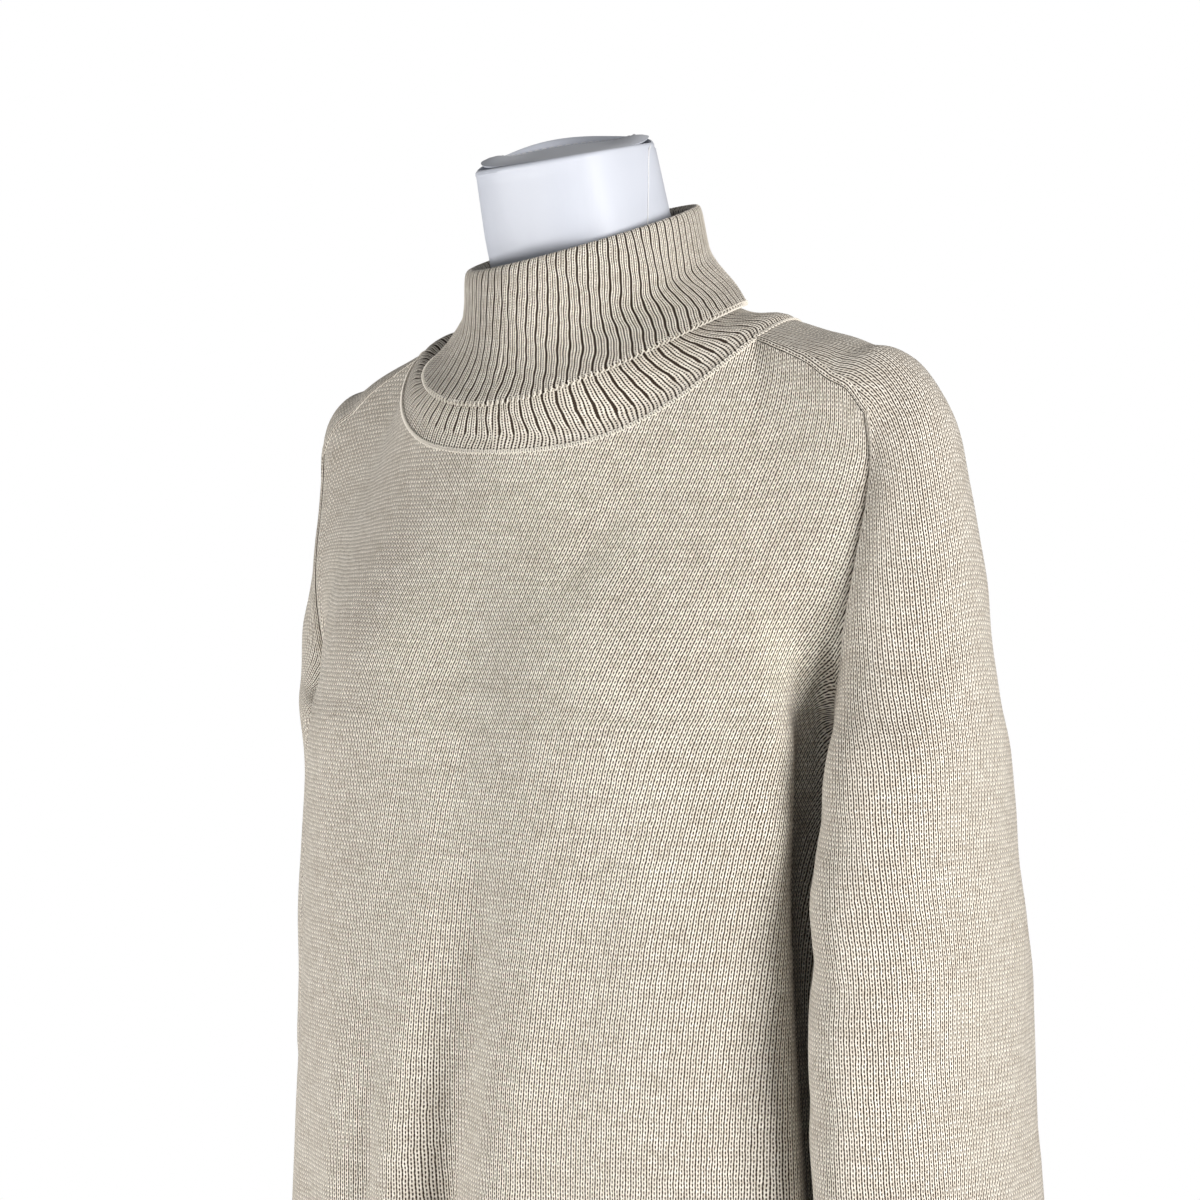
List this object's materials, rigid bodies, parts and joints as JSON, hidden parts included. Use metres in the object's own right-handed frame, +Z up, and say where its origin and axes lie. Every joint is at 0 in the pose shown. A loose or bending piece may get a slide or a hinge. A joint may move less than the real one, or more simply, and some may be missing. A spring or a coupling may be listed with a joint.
{
  "type": "sweater dress on a dress form",
  "caption": "Long-sleeved knit sweater dress with a ribbed fold-over collar and saddle shoulders, carried by a cloth-covered, limbless dress form on a pole and a round base.",
  "frame": {"origin": "centre of the base plate's underside, on the floor", "axes": "+Z up, +X to the wearer's left, -Y to the front"},
  "size_m": [0.544, 0.34, 1.5055],
  "materials": {
    "oatmeal_knit": "heathered fine knit, matte",
    "oatmeal_rib": "heathered ribbed knit, matte",
    "white_cover": "smooth white cloth with a soft sheen",
    "brushed_steel": "brushed"
  },
  "bodies": {
    "root": {"front_panel": "oatmeal_knit", "back_panel": "oatmeal_knit", "sleeve_left": "oatmeal_knit", "sleeve_right": "oatmeal_knit", "collar": "oatmeal_rib", "form_body": "white_cover", "neck_cap": "white_cover", "stand_pole": "brushed_steel", "base_plate": "brushed_steel"}
  },
  "joints": []
}
